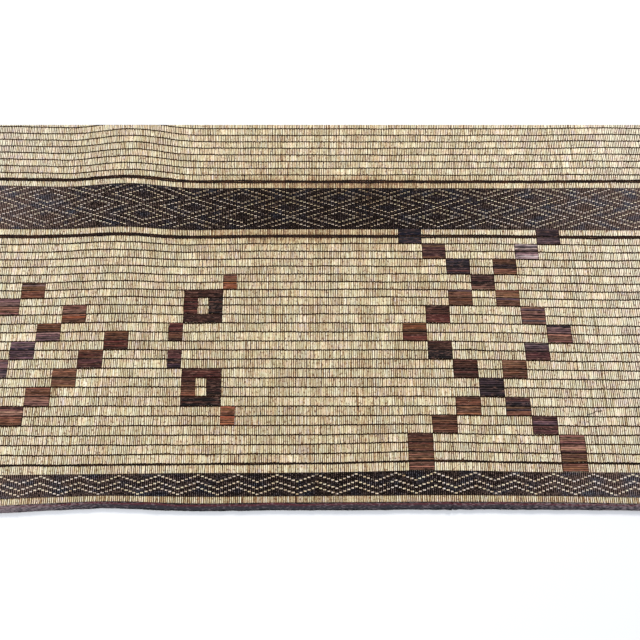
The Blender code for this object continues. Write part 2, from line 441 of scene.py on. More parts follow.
def add(tree, kind, inputs=None, stops=None, **settings):
    """Adds a node. An input's value is a number, a colour, or the output that feeds it."""
    made = tree.nodes.new(kind)
    for name, value in settings.items():
        setattr(made, name, value)
    for socket, value in (inputs or {}).items():
        if isinstance(value, bpy.types.NodeSocket):
            tree.links.new(value, made.inputs[socket])
        else:
            made.inputs[socket].default_value = value
    if stops:
        elements = made.color_ramp.elements
        while len(elements) < len(stops):
            elements.new(1.0)
        for element, (place, colour) in zip(elements, stops):
            element.position = place
            element.color = (*linear(colour), 1.0)
    return made


def new_material(name, roughness, ior, specular=0.5):
    """A material with its shader, ready for its pattern."""
    material = bpy.data.materials.new(name)
    material.use_nodes = True
    tree = material.node_tree
    shader = tree.nodes["Principled BSDF"]
    shader.inputs["Roughness"].default_value = roughness
    shader.inputs["IOR"].default_value = ior
    shader.inputs["Specular IOR Level"].default_value = specular
    return material, tree, shader


def grain(tree, size, detail=2.0):
    """Noise whose grains are size = (x, y, z) millimetres."""
    place = add(tree, "ShaderNodeTexCoord").outputs["Object"]
    scaled = add(
        tree, "ShaderNodeMapping", {"Vector": place, "Scale": [1 / (MM * length) for length in size]}
    )
    noise = add(
        tree,
        "ShaderNodeTexNoise",
        {"Vector": scaled.outputs["Vector"], "Scale": 1.0, "Detail": detail, "Roughness": 0.55},
    )
    return noise.outputs["Fac"]


def reed_material():
    """Dried river reed, split from its leaves: a waxy straw skin that has aged unevenly.

    The eye gets pale cream stems, some tan or pinkish, brown age spots, and dirt and painted shade
    between them."""
    material, tree, shader = new_material("dried_reed", 0.42, 1.5, 0.25)
    tone = add(tree, "ShaderNodeAttribute", attribute_name="tone").outputs["Fac"]
    warmth = add(tree, "ShaderNodeAttribute", attribute_name="warmth").outputs["Fac"]
    flank_dirt_and_shade_input = add(tree, "ShaderNodeAttribute", attribute_name="flank_dirt_and_shade").outputs["Fac"]
    span = add(tree, "ShaderNodeAttribute", attribute_name="span").outputs["Fac"]

    # Fibres are a third of a millimetre apart, too fine to show, and are drawn coarser
    fibre = grain(tree, (0.9, 6, 2))
    blotch = grain(tree, (1.2, 1.9, 3), 3.0)
    fibred = add(
        tree, "ShaderNodeMath", {0: fibre, 1: 0.9, 2: tone}, operation="MULTIPLY_ADD"
    ).outputs[0]
    blotched = add(
        tree, "ShaderNodeMath", {0: blotch, 1: 0.9, 2: fibred}, operation="MULTIPLY_ADD"
    ).outputs[0]
    centred = add(tree, "ShaderNodeMath", {0: blotched, 1: 0.90}, operation="SUBTRACT").outputs[0]
    straw = add(
        tree,
        "ShaderNodeValToRGB",
        {"Fac": centred},
        stops=(
            (0.00, "#483222"),
            (0.20, "#836143"),
            (0.36, "#b2946f"),
            (0.50, "#d2bf9d"),
            (0.68, "#e8dabd"),
            (0.86, "#f6ecdb"),
            (1.00, "#fdf7ee"),
        ),
    ).outputs["Color"]
    patch = grain(tree, (15, 11, 8), 3.0)
    hue = add(
        tree, "ShaderNodeMath", {0: patch, 1: 2.6, 2: warmth}, operation="MULTIPLY_ADD"
    ).outputs[0]
    cast = add(
        tree,
        "ShaderNodeValToRGB",
        {"Fac": add(tree, "ShaderNodeMath", {0: hue, 1: 1.3}, operation="SUBTRACT").outputs[0]},
        stops=(
            (0.00, "#e6e8d4"),
            (0.35, "#f4f3de"),
            (0.60, "#f6efdd"),
            (0.85, "#f4e5d3"),
            (1.00, "#eae3e1"),
        ),
    ).outputs["Color"]
    pinked = add(
        tree,
        "ShaderNodeMixRGB",
        {"Fac": 1.0, "Color1": straw, "Color2": cast},
        blend_type="MULTIPLY",
    ).outputs["Color"]

    # Age spots are 1 to 2 mm long, and are drawn twice as big
    spot = grain(tree, (2.4, 3.8, 3), 2.0)
    spots = add(
        tree, "ShaderNodeMapRange", {"Value": spot, "From Min": 0.585, "From Max": 0.67, "To Max": 0.85}
    ).outputs["Result"]
    spotted = add(
        tree,
        "ShaderNodeMixRGB",
        {"Fac": spots, "Color1": pinked, "Color2": (*linear("#704224"), 1)},
    ).outputs["Color"]

    # Dirt and painted shade down the flanks of each reed and beside the thongs
    flank_dirt_and_shade = add(
        tree, "ShaderNodeMapRange", {"Value": flank_dirt_and_shade_input, "From Min": 0.30, "From Max": 0.64}
    ).outputs["Result"]
    dirtied_and_shaded = add(
        tree,
        "ShaderNodeMixRGB",
        {"Fac": flank_dirt_and_shade, "Color1": spotted, "Color2": (*linear("#51351e"), 1)},
    ).outputs["Color"]
    # Painted shade and dirt beside each thong, where the reeds dip under it
    thong_dirt_and_shade = add(
        tree, "ShaderNodeMapRange", {"Value": span, "From Min": 0.30, "From Max": 0.05, "To Max": 0.9}
    ).outputs["Result"]
    shaded = add(
        tree,
        "ShaderNodeMixRGB",
        {"Fac": thong_dirt_and_shade, "Color1": dirtied_and_shaded, "Color2": (*linear("#86592f"), 1)},
        blend_type="MULTIPLY",
    ).outputs["Color"]
    tree.links.new(shaded, shader.inputs["Base Color"])

    skin = add(tree, "ShaderNodeBump", {"Height": fibre, "Strength": 0.35, "Distance": 0.0002})
    tree.links.new(skin.outputs["Normal"], shader.inputs["Normal"])
    return material


def thong_material():
    """Goatskin thong, cut narrow and blackened with age: matt, with browner stretches. The thongs
    of the double rows are greyer."""
    material, tree, shader = new_material("goatskin_thong", 0.8, 1.45, 0.05)
    stretch = grain(tree, (14, 5, 5), 3.0)
    # Leather's own grain is under half a millimetre, too fine to show, and is drawn coarser
    fine = grain(tree, (1.6, 0.8, 1.0))
    both = add(
        tree, "ShaderNodeMath", {0: fine, 1: 0.35, 2: stretch}, operation="MULTIPLY_ADD"
    ).outputs[0]
    colour = add(
        tree,
        "ShaderNodeValToRGB",
        {"Fac": both},
        stops=((0.45, "#180a04"), (0.70, "#27130a"), (0.90, "#422612"), (1.0, "#603e20")),
    ).outputs["Color"]
    doubled = add(tree, "ShaderNodeAttribute", attribute_name="doubled").outputs["Fac"]
    greyed = add(
        tree,
        "ShaderNodeMixRGB",
        {"Fac": doubled, "Color1": colour, "Color2": (*linear("#040f11"), 1)},
        blend_type="ADD",
    ).outputs["Color"]
    tree.links.new(greyed, shader.inputs["Base Color"])
    return material


def band_material():
    """Goatskin strips, dyed black and worn: slate violet where light catches the worn crowns."""
    material, tree, shader = new_material("dyed_goatskin_band", 0.75, 1.45, 0.05)
    wear = add(tree, "ShaderNodeAttribute", attribute_name="wear").outputs["Fac"]
    area = grain(tree, (22, 14, 14), 3.0)
    # Grain is drawn coarser than it is, as on the thongs
    fine = grain(tree, (1.8, 2.4, 1.0), 3.0)
    black = add(
        tree,
        "ShaderNodeValToRGB",
        {"Fac": area},
        stops=((0.35, "#0e0705"), (0.50, "#110a08"), (0.62, "#100b0d"), (0.75, "#101014")),
    ).outputs["Color"]
    worn = add(
        tree,
        "ShaderNodeValToRGB",
        {"Fac": area},
        stops=((0.35, "#8e7468"), (0.50, "#857069"), (0.60, "#7a7074"), (0.70, "#6c6e78")),
    ).outputs["Color"]
    # One rib to a reed: dye lasts where strips sag between reeds, with painted shade there and painted
    # highlight on crowns
    place = add(tree, "ShaderNodeTexCoord").outputs["Object"]
    rib_wear_and_light = add(
        tree,
        "ShaderNodeTexWave",
        {"Vector": place, "Scale": 2 * math.pi / (WAVE_TURN * REED_PITCH * MM), "Distortion": 0.0},
        bands_direction="X",
    ).outputs["Fac"]
    ribbed_wear_and_light = add(
        tree, "ShaderNodeMath", {0: rib_wear_and_light, 1: 0.5, 2: fine}, operation="MULTIPLY_ADD"
    ).outputs[0]
    worn_with_painted_light = add(
        tree, "ShaderNodeMath", {0: wear, 1: 0.3, 2: ribbed_wear_and_light}, operation="MULTIPLY_ADD"
    ).outputs[0]
    share = add(
        tree, "ShaderNodeMapRange", {"Value": worn_with_painted_light, "From Min": 1.01, "From Max": 1.26}
    ).outputs["Result"]
    colour = add(
        tree, "ShaderNodeMixRGB", {"Fac": share, "Color1": black, "Color2": worn}
    ).outputs["Color"]
    tree.links.new(colour, shader.inputs["Base Color"])
    leather = add(tree, "ShaderNodeBump", {"Height": fine, "Strength": 0.3, "Distance": 0.0003})
    tree.links.new(leather.outputs["Normal"], shader.inputs["Normal"])
    return material


def block_material():
    """Goatskin strips in many plant dyes, rubbed shiny: long streaks run along each strip. Each
    strip has a painted highlight along its crest, painted shade at its edges, and painted glints.

    Real streaks are under a millimetre wide, too fine to show, and are drawn twice as wide."""
    material, tree, shader = new_material("dyed_goatskin_block", 0.5, 1.45, 0.12)
    dye = add(tree, "ShaderNodeAttribute", attribute_name="dye").outputs["Color"]
    crest = add(tree, "ShaderNodeAttribute", attribute_name="crest").outputs["Fac"]
    streak = grain(tree, (12, 1.8, 2.5), 3.0)
    glint = grain(tree, (7, 1.7, 2.5), 2.0)
    # Painted highlight along each strip's crest and painted shade towards its edges, mixed with the
    # streaks
    raised = add(
        tree, "ShaderNodeMath", {0: crest, 1: 0.35, 2: streak}, operation="MULTIPLY_ADD"
    ).outputs[0]
    lights = add(
        tree, "ShaderNodeMapRange", {"Value": raised, "From Min": 0.62, "From Max": 0.88}
    ).outputs["Result"]
    darker = add(
        tree,
        "ShaderNodeMixRGB",
        {"Fac": 1.0, "Color1": dye, "Color2": (*linear("#554d50"), 1)},
        blend_type="MULTIPLY",
    ).outputs["Color"]
    streaked = add(
        tree, "ShaderNodeMixRGB", {"Fac": lights, "Color1": darker, "Color2": dye}
    ).outputs["Color"]
    # Painted glints of sheen, added over the streaks
    wear_and_glint = add(
        tree, "ShaderNodeMapRange", {"Value": glint, "From Min": 0.55, "From Max": 0.70}
    ).outputs["Result"]
    worn_with_painted_light = add(
        tree,
        "ShaderNodeMixRGB",
        {"Fac": wear_and_glint, "Color1": streaked, "Color2": (*linear("#60463c"), 1)},
        blend_type="ADD",
    ).outputs["Color"]
    tree.links.new(worn_with_painted_light, shader.inputs["Base Color"])
    gloss = add(
        tree, "ShaderNodeMapRange", {"Value": streak, "To Min": 0.6, "To Max": 0.4}
    ).outputs["Result"]
    tree.links.new(gloss, shader.inputs["Roughness"])
    leather = add(tree, "ShaderNodeBump", {"Height": streak, "Strength": 0.5, "Distance": 0.0004})
    tree.links.new(leather.outputs["Normal"], shader.inputs["Normal"])
    return material


def binding_material():
    """Rolled goatskin edging: burgundy where it was folded over the reeds, charcoal in front, with
    painted shade at its back and under its front, and painted sheen on worn places.
    """
    material, tree, shader = new_material("rolled_goatskin_edge", 0.55, 1.45, 0.15)
    fold = add(tree, "ShaderNodeAttribute", attribute_name="fold").outputs["Fac"]
    wear = add(tree, "ShaderNodeAttribute", attribute_name="wear").outputs["Fac"]
    crease = grain(tree, (4.0, 1.4, 1.5), 3.0)
    area = grain(tree, (34, 20, 20), 2.0)
    wander = add(
        tree, "ShaderNodeMath", {0: area, 1: 0.5, 2: fold}, operation="MULTIPLY_ADD"
    ).outputs[0]
    centred = add(tree, "ShaderNodeMath", {0: wander, 1: 0.25}, operation="SUBTRACT").outputs[0]
    # The dark stops at both ends are painted shade: where the roll meets the reeds and where it turns
    # under its front
    colour = add(
        tree,
        "ShaderNodeValToRGB",
        {"Fac": centred},
        stops=(
            (0.02, "#180c0f"),
            (0.12, "#501c23"),
            (0.26, "#42232a"),
            (0.40, "#2b2429"),
            (0.55, "#2b282d"),
            (0.74, "#29282d"),
            (0.92, "#0b0a0b"),
        ),
    ).outputs["Color"]
    # Pale rub on worn places and creases: partly real wear, partly painted sheen
    worn = add(
        tree, "ShaderNodeMath", {0: wear, 1: 0.25, 2: crease}, operation="MULTIPLY_ADD"
    ).outputs[0]
    wear_and_glint = add(
        tree, "ShaderNodeMapRange", {"Value": worn, "From Min": 0.46, "From Max": 0.73, "To Max": 0.75}
    ).outputs["Result"]
    worn_with_painted_light = add(
        tree,
        "ShaderNodeMixRGB",
        {"Fac": wear_and_glint, "Color1": colour, "Color2": (*linear("#867679"), 1)},
    ).outputs["Color"]
    tree.links.new(worn_with_painted_light, shader.inputs["Base Color"])
    leather = add(tree, "ShaderNodeBump", {"Height": crease, "Strength": 0.6, "Distance": 0.0006})
    tree.links.new(leather.outputs["Normal"], shader.inputs["Normal"])
    return material


def floor_material():
    """Matt white paper sweep."""
    material, tree, shader = new_material("white_paper_floor", 0.9, 1.45)
    shader.inputs["Base Color"].default_value = (*linear("#e8e8e8"), 1)
    return material


def reed_edges():
    """Where each reed begins across the mat, and where the last one ends.

    Reeds differ in girth, but every four of them fill the same width."""
    rng = np.random.default_rng(SEED)
    girth = np.clip(rng.normal(1, 0.13, (REED_COUNT // 4, 4)), 0.72, 1.3)
    girth = girth / girth.sum(axis=1, keepdims=True) * 4 * REED_PITCH
    return np.concatenate(([0.0], np.cumsum(girth.ravel()))) - HALF_WIDTH


REED_EDGES = reed_edges()


def across(reeds):
    """Place across the mat of a count of reeds from its left edge."""
    return np.interp(reeds, np.arange(REED_COUNT + 1), REED_EDGES)


def reed_rings():
    """Rings along a reed: their places from the front, spans and tips, and the gaps between pressed
    places that they touch. Span is 0 where leather presses on the reed and 1 where it lies free.
    Tip is 1 just beyond each pressed place, where the reed rises to face the light, and there its tone
    gets a painted highlight."""
    pressed = [*NARROW_BAND, *WIDE_BAND]
    for row in NEAR_ROWS[:-1] + FAR_FIELD_ROWS:
        if row in DOUBLE_ROWS:
            half = DOUBLE_ROWS[row][0]
            pressed += [row - half, row + half]
        else:
            pressed.append(row)
    pressed.sort()
    # Each ring is (from the front, span, tip); tip marks where a painted highlight goes
    rings = [(y, 0.0, 0.0) for y in pressed]
    for low, high in zip(pressed, pressed[1:]):
        if high - low > 3 * REED_SHOULDER:
            rings += [(low + REED_SHOULDER, 1.0, 1.0), (high - REED_SHOULDER, 1.0, 0.0)]
    rings += [(pressed[0] - REED_SHOULDER, 1.0, 0.0), (pressed[-1] + REED_SHOULDER, 1.0, 1.0)]
    rings += [(REED_START, 0.6, 0.0), (BINDING_WIDTH + 0.6, 0.4, 0.0)]
    rings += [(REED_END_RISE, 1.0, 0.0), (REED_UNTRIMMED, 0.9, 0.5)]
    ring_y, spans, painted_tip_light = np.array(sorted(rings)).T
    nearer = np.searchsorted(pressed, ring_y - 0.1)
    farther = np.searchsorted(pressed, ring_y + 0.1)
    return ring_y, spans, painted_tip_light, nearer, farther


def each_gap(values, nearer, farther):
    """Values of each reed's gaps, taken to its rings. A pressed ring has the mean of two gaps."""
    return (values[:, nearer] + values[:, farther]) / 2


def reed_leans(rng, ring_y, spans):
    """Sideways shift of each reed at each ring: pairs are drawn together under the thongs, and
    here and there two pairs part in a narrow V. The binding and the bands hold reeds straight."""
    reeds = np.arange(REED_COUNT)
    rings = len(spans)
    side = np.where((reeds + SINGLE_REED_FIRST) % 2 == 0, 1.0, -1.0)
    drawn = 0.09 * side[:, None] * (1 - spans)[None, :]
    loose = rng.normal(0, 1, (REED_COUNT, rings)) * (0.05 + 0.11 * spans)[None, :]
    parting = (rng.random((REED_COUNT, rings)) < 0.07) * rng.uniform(0.2, 0.55, (REED_COUNT, rings))
    parting = parting * (0.35 + 0.65 * spans)[None, :]
    push = np.array([-0.12, -0.45, -1.0, 1.0, 0.45, 0.12])
    parted = np.array([np.convolve(parting[:, k], push, mode="same") for k in range(rings)]).T
    held = np.interp(ring_y, (19, 32, 400, 411, 478, 490), (0.3, 1.0, 1.0, 0.5, 0.5, 1.0))
    return drawn + (loose + parted * 0.55) * held


def reed_tones(rng, ring_y, painted_tip_light, nearer, farther):
    """(tone, warmth) of each reed at each ring. Both change from gap to gap, as the reeds turn and
    slide a little under each thong. The middle and the front edge of the mat are a little soiled,
    and the reeds are palest under the bands and most uneven beside the binding."""
    gaps = farther.max() + 1
    own = rng.normal(0, 1, (REED_COUNT, 1))
    local = rng.normal(0, 1, (REED_COUNT, gaps))
    local[:, 0] *= 1.7
    tone = 0.70 + 0.05 * own + 0.08 * local
    aged = rng.random(REED_COUNT) < 0.10
    for reed in np.flatnonzero(aged):
        start = rng.integers(0, gaps)
        tone[reed, start:start + rng.integers(1, 5)] -= rng.uniform(0.2, 0.42)
    warmth = 0.5 + 0.10 * rng.normal(0, 1, (REED_COUNT, gaps))
    place_x = np.linspace(-HALF_WIDTH, HALF_WIDTH, REED_COUNT)
    tone_lift = np.interp(place_x, TONE_LIFT_X, TONE_LIFT)[:, None]
    worn = np.interp(place_x, WEAR_X, WEAR)[:, None]
    soiled = hills(SOIL, place_x[:, None], ring_y)
    # Tone is raised across the mat as listed, lowered where soiled, and given a painted highlight at
    # the tips
    tone = each_gap(tone, nearer, farther) + tone_lift + 0.07 * painted_tip_light - soiled
    warmth = each_gap(warmth, nearer, farther)
    # Reeds under the bands are paler: cleaner, and lifted with painted light against the shade of the
    # strips
    for near, far in (NARROW_BAND, WIDE_BAND):
        covered = (ring_y > near) & (ring_y < far)
        tone = tone + covered * (0.08 + 0.14 * worn)
        warmth = warmth + 0.35 * covered
    return np.clip(tone, 0.0, 1.0), np.clip(warmth, 0.0, 1.0)


def reed_groove_dirt_and_shade(rng, ring_y, nearer, farther):
    """How dark the groove before each reed is at each ring, with dirt and painted shade. It is darkest
    between pairs, comes in patches, and is lighter under the bands."""
    gaps = farther.max() + 1
    grooves = np.arange(REED_COUNT + 1)
    between_pairs = (grooves + SINGLE_REED_FIRST) % 2 == 0
    low = np.where(between_pairs, 0.70, 0.60)[:, None]
    patches = waver(rng, gaps, REED_COUNT + 1, 15, 0.10).T
    groove_dirt_and_shades = low + (1 - low) * rng.random((REED_COUNT + 1, gaps)) + patches
    groove_dirt_and_shades = each_gap(groove_dirt_and_shades, nearer, farther) + np.interp(ring_y, (12, 30), (0.2, 0.0))
    for near, far in (NARROW_BAND, WIDE_BAND):
        covered = (ring_y > near) & (ring_y < far)
        groove_dirt_and_shades = groove_dirt_and_shades * np.where(covered, 0.45, 1.0)
    return groove_dirt_and_shades


def make_reeds(material):
    """The reeds, in panels side by side."""
    rng = np.random.default_rng(SEED + 1)
    ring_y, spans, painted_tip_light, nearer, farther = reed_rings()
    leans = reed_leans(rng, ring_y, spans)
    tones, warmths = reed_tones(rng, ring_y, painted_tip_light, nearer, farther)
    groove_dirt_and_shades = reed_groove_dirt_and_shade(rng, ring_y, nearer, farther)
    lift = rng.normal(0, 0.06, (REED_COUNT, len(ring_y)))
    ends = rng.normal(0, 0.5, REED_COUNT)
    turns = np.radians(90 + 360 / REED_SIDES * np.arange(REED_SIDES))
    section_x = np.cos(turns) / np.cos(turns).max()
    section_z = np.sin(turns)
    on_left = section_x < -0.1
    on_right = section_x > 0.1
    seat = np.interp(ring_y, (BINDING_WIDTH, REED_END_RISE), (2.5 - REED_CENTRE_Z, 0.0))
    in_panel = REED_COUNT // REED_PANELS
    panels = []
    for panel in range(REED_PANELS):
        mesh, copy, ring, corner = make_bars(REED_SIDES, len(ring_y), in_panel)
        reed = copy + panel * in_panel
        span = spans[ring]
        half = (REED_EDGES[reed + 1] - REED_EDGES[reed]) / 2 * REED_FILL * (0.96 + 0.04 * span)
        centre = (REED_EDGES[reed + 1] + REED_EDGES[reed]) / 2 + leans[reed, ring]
        centre_z = REED_CENTRE_Z + seat[ring] + (span - 1.0) * 0.12 + lift[reed, ring] * span
        tall = REED_HALF_HEIGHT * (0.86 + 0.14 * span)
        y = ring_y[ring] + ends[reed] * (ring == len(ring_y) - 1)
        z = np.maximum(centre_z + tall * section_z[corner], 0.1)
        lay_down(mesh, centre + half * section_x[corner], y, z)
        note(mesh, "tone", tones[reed, ring])
        note(mesh, "warmth", warmths[reed, ring])
        # Flank corners take the groove's dirt and painted shade; the crest corner has none
        flank_dirt_and_shade = np.where(on_left[corner], groove_dirt_and_shades[reed, ring], 0.0)
        flank_dirt_and_shade = np.where(on_right[corner], groove_dirt_and_shades[reed + 1, ring], flank_dirt_and_shade)
        note(mesh, "flank_dirt_and_shade", flank_dirt_and_shade)
        note(mesh, "span", span)
        trim_far_end(mesh)
        piece = finish_piece(f"reeds_{panel + 1}", mesh, material, ["reed_field"])
        panels.append(piece)
    return panels


def waver(rng, lines, rings, reach, size):
    """A slow random wander for each of several lines, as an array of lines by rings."""
    kernel = np.exp(-np.linspace(-2, 2, reach) ** 2)
    kernel /= np.sqrt((kernel ** 2).sum())
    raw = rng.normal(0, 1, (lines, rings + reach - 1))
    return size * np.array([np.convolve(line, kernel, mode="valid") for line in raw])


def smooth_over_lines(values):
    """The same values, blended with those of the lines beside them."""
    kernel = np.hanning(9)
    kernel /= np.sqrt((kernel ** 2).sum())
    return np.array([np.convolve(column, kernel, mode="same") for column in values.T]).T


def make_thongs(name, rows, material, seed):
    """Rows of two strands, twined: one goes over a pair of reeds while the other goes under it."""
    rng = np.random.default_rng(seed)
    lines = []
    for row in rows:
        if row in DOUBLE_ROWS:
            half, width = DOUBLE_ROWS[row]
            lines.append((row - half, width, 1.0))
            lines.append((row + half, width, 1.0))
        else:
            lines.append((row, THONG_WIDTH, 0.0))
    lines, widths, doubled = np.array(lines).T
    pairs = REED_COUNT // 2 + 1
    rings = pairs * 2
    ring_numbers = np.arange(rings)
    pair = ring_numbers // 2
    last = ring_numbers % 2
    # Each strand crosses between pairs, and wraps the outermost reeds at both sides
    reeds = 2 * pair - SINGLE_REED_FIRST + np.where(last == 0, 0.1, 1.9)
    reeds = np.clip(reeds, -0.12, REED_COUNT + 0.12)
    ring_x = across(reeds) + np.where(reeds < 0, -0.35, 0) + np.where(reeds > REED_COUNT, 0.35, 0)
    wander = waver(rng, len(lines), rings, 9, 0.18) + waver(rng, len(lines), rings, 33, 0.26)
    swell = rng.normal(1, 0.10, (2 * len(lines), rings))
    section_across = np.array((0.0, -0.5, 0.5))
    section_up = np.array((1.0, 0.0, 0.0))
    mesh, copy, ring, corner = make_bars(3, rings, 2 * len(lines))
    line = copy // 2
    over = (pair[ring] + copy) % 2 == 0
    slant = THONG_SLANT * np.where(last[ring] == 0, -1, 1) * np.where(over, 1, -1)
    width = widths[line] * swell[copy, ring]
    height = THONG_THICKNESS * swell[copy, ring]
    at_end = (ring == 0) | (ring == rings - 1)
    base = np.where(at_end, THONG_END, np.where(over, THONG_TOP, THONG_BOTTOM))
    y = lines[line] + wander[line, ring] + np.where(at_end, 0.0, slant)
    y = y - width * section_across[corner]
    z = base + height * section_up[corner]
    lay_down(mesh, ring_x[ring], y, z)
    note(mesh, "doubled", doubled[line])
    if rows[-1] > WIDE_BAND[1]:
        trim_far_end(mesh)
    return finish_piece(name, mesh, material, ["reed_field"])


# The one loose end of thong, as (x, from the front)
LOOSE_END = ((359.0, 124.8), (359.5, 128.7), (368.5, 131.5), (371.4, 134.0), (379.3, 134.7))
LOOSE_END_RADIUS = 0.45


def make_loose_end(material):
    """A frayed end of thong that lies over the reeds."""
    mesh, copy, ring, corner = make_bars(4, len(LOOSE_END), 1)
    x, y = np.array(LOOSE_END)[ring].T
    turn = math.pi / 2 * corner
    y = y + LOOSE_END_RADIUS * np.cos(turn)
    z = REED_TOP + 0.5 + LOOSE_END_RADIUS * np.sin(turn)
    lay_down(mesh, x, y, z)
    return finish_piece("thong_loose_end", mesh, material, ["reed_field"])


def narrow_dots(strip, pair):
    """Three nested zigzags, a row down for each pair of reeds."""
    step = np.abs((pair - NARROW_PEAK_PAIR + NARROW_REPEAT // 2) % NARROW_REPEAT - NARROW_REPEAT // 2)
    dots = np.zeros(step.shape, bool)
    for top in NARROW_ZIGZAGS:
        dots |= strip == top + step
    return dots


def wide_dots(strip, pair):
    """Nested diamonds whose points meet, set in a half drop."""
    across_repeat, along_repeat = WIDE_REPEAT
    dots = np.zeros(strip.shape, bool)
    for half_drop in (0, 1):
        u = pair - WIDE_CENTRE[0] + half_drop * across_repeat // 2
        v = strip - WIDE_CENTRE[1] + half_drop * along_repeat // 2
        u = np.abs((u + across_repeat // 2) % across_repeat - across_repeat // 2)
        v = np.abs((v + along_repeat // 2) % along_repeat - along_repeat // 2)
        for size in WIDE_DIAMONDS:
            dots |= u + v == size
    return dots & (strip <= WIDE_LAST_DOTS)


def make_band(node, near, far, strips, cover, wear, dots, material, seed):
    """A close-woven band: each strip lies over the reeds, and dips under a pair of them at each
    dot. Slack strips sag, and veil some of the dots; worn ones have shrunk, and veil fewer. Dots
    open wider where they fall to the right, with the twist of the strips. Cover is the width of a
    strip against its share of the band, and wear adds to the wear across the mat."""
    rng = np.random.default_rng(seed)
    pitch = (far - near) / strips
    pairs = REED_COUNT // 2 + 1
    rings = pairs * 3
    ring_numbers = np.arange(rings)
    pair = ring_numbers // 3
    third = ring_numbers % 3
    offsets = np.array((0.25, 1.0, 1.75))[third]
    reeds = np.clip(2 * pair - SINGLE_REED_FIRST + offsets, 0, REED_COUNT)
    ring_x = across(reeds)
    ring_x = ring_x + np.linspace(-0.05, 0.05, rings)
    wander = waver(rng, strips, rings, 13, 0.05) + waver(rng, 1, rings, 61, 0.15)
    puff = rng.normal(0, 0.05, (strips, rings))
    veil = rng.random((strips, pairs)) ** 7 + smooth_over_lines(waver(rng, strips, pairs, 15, 0.20))
    worn = wear + np.interp(ring_x, WEAR_X, WEAR)
    veil = np.clip(veil * (1.1 - 0.6 * worn[1::3]), 0, 0.9)
    shrunk = cover * (1 - 0.11 * worn)
    section_across = np.array((0.0, -0.5, 0.5))
    section_up = np.array((1.0, 0.0, 0.0))
    mesh, copy, ring, corner = make_bars(3, rings, strips)
    here = pair[ring]
    dotted = dots(copy, here) & (copy > 0) & (copy < strips - 1)
    falling = dots(copy - 1, here - 1) | dots(copy + 1, here + 1)
    middle = third[ring] == 1
    beside = np.where(falling, DOT_BESIDE_FALLING, DOT_BESIDE)
    dip = np.where(middle, DOT_UNDER + DOT_SLACK * veil[copy, here], beside)
    base = np.where(dotted, dip, np.where(middle, STRIP_OVER, STRIP_BESIDE) + puff[copy, ring])
    y = far - (copy + 0.5) * pitch + wander[copy, ring]
    y = y - pitch * shrunk[ring] * section_across[corner]
    z = base + STRIP_THICKNESS * section_up[corner]
    lay_down(mesh, ring_x[ring], y, z)
    note(mesh, "wear", worn[ring])
    return finish_piece(f"{node}_weave", mesh, material, [node])


def gap_span(gap):
    """Near and far limit of the strips in a gap of the near field; gap -1 meets the wide band."""
    if gap < 0:
        return NEAR_ROWS[0] + DOUBLE_ROW_MARGIN, WIDE_BAND[0] - 0.1
    near_row = NEAR_ROWS[gap + 1]
    far_row = NEAR_ROWS[gap]
    near_margin = DOUBLE_ROW_MARGIN if near_row in DOUBLE_ROWS else ROW_MARGIN
    far_margin = DOUBLE_ROW_MARGIN if far_row in DOUBLE_ROWS else ROW_MARGIN
    return near_row + near_margin, far_row - far_margin


def dyed_bars(gaps, left, width, dyes):
    """Strips that fill gaps of the near field, as rows of (left, right, near, far, dye)."""
    rows = []
    for number, gap in enumerate(gaps):
        near, far = gap_span(gap)
        pitch = (far - near) / STRIPS_IN_GAP
        dye = dyes[number * len(dyes) // len(gaps)]
        for strip in range(STRIPS_IN_GAP):
            low = far - pitch * (strip + 1)
            rows.append((left, left + width, low, low + pitch, dye))
        if number > 0:
            covered = NEAR_ROWS[gap]
            rows.append((left, left + width, covered - ROW_MARGIN, covered + ROW_MARGIN, "thong"))
    return rows


def make_strips(node, rows, stray, material, seed):
    """Leather strips laid over the reeds, each tucked down between two reeds at both ends. A few
    have the stray dye."""
    rng = np.random.default_rng(seed)
    count = len(rows)
    left, right, near, far = np.array([row[:4] for row in rows]).T
    dyes = [stray if row[4] != "thong" and rng.random() < STRAY_SHARE else row[4] for row in rows]
    colours = np.array([linear(DYES[dye]) for dye in dyes])
    depth = 1.15 * np.exp(rng.normal(0, 0.28, (count, 1)))
    colours = colours * depth * (1 + rng.normal(0, 0.06, (count, 3)))
    rings = BLOCK_STRIP_RINGS
    shares = np.concatenate(([0.0, 0.012], np.linspace(0.045, 0.955, rings - 4), [0.988, 1.0]))
    rise = np.ones(rings)
    rise[[0, -1]] = 0.0
    rise[[1, -2]] = 0.72
    wave = rng.normal(0, 0.09, (count, rings))
    sway = waver(rng, count, rings, 5, 0.10)
    tuck = rng.uniform(0.0, BLOCK_STRIP_TUCK, (count, 2))
    section_across = np.array((0.0, -0.34, -0.5, 0.5, 0.34))
    section_up = np.array((1.0, 0.82, 0.0, 0.0, 0.82))
    mesh, copy, ring, corner = make_bars(5, rings, count)
    inset = left - BLOCK_STRIP_TUCK + tuck[:, 0]
    reach = right + BLOCK_STRIP_TUCK - tuck[:, 1] - inset
    x = inset[copy] + reach[copy] * shares[ring]
    width = (far - near)[copy] * 1.06
    base = BLOCK_STRIP_LOW + BLOCK_STRIP_RISE * rise[ring] + wave[copy, ring] * rise[ring]
    y = ((near + far) / 2)[copy] + sway[copy, ring] - width * section_across[corner]
    z = base + BLOCK_STRIP_THICKNESS * section_up[corner]
    lay_down(mesh, x, y, z)
    note_colour(mesh, "dye", np.clip(colours, 0.002, 0.9)[copy])
    # Crest is 1 on top of a strip, where the material paints a highlight, and 0 at its edges, where it
    # paints shade
    note(mesh, "crest", section_up[corner] * rise[ring])
    return finish_piece(f"{node}_strips", mesh, material, [node])


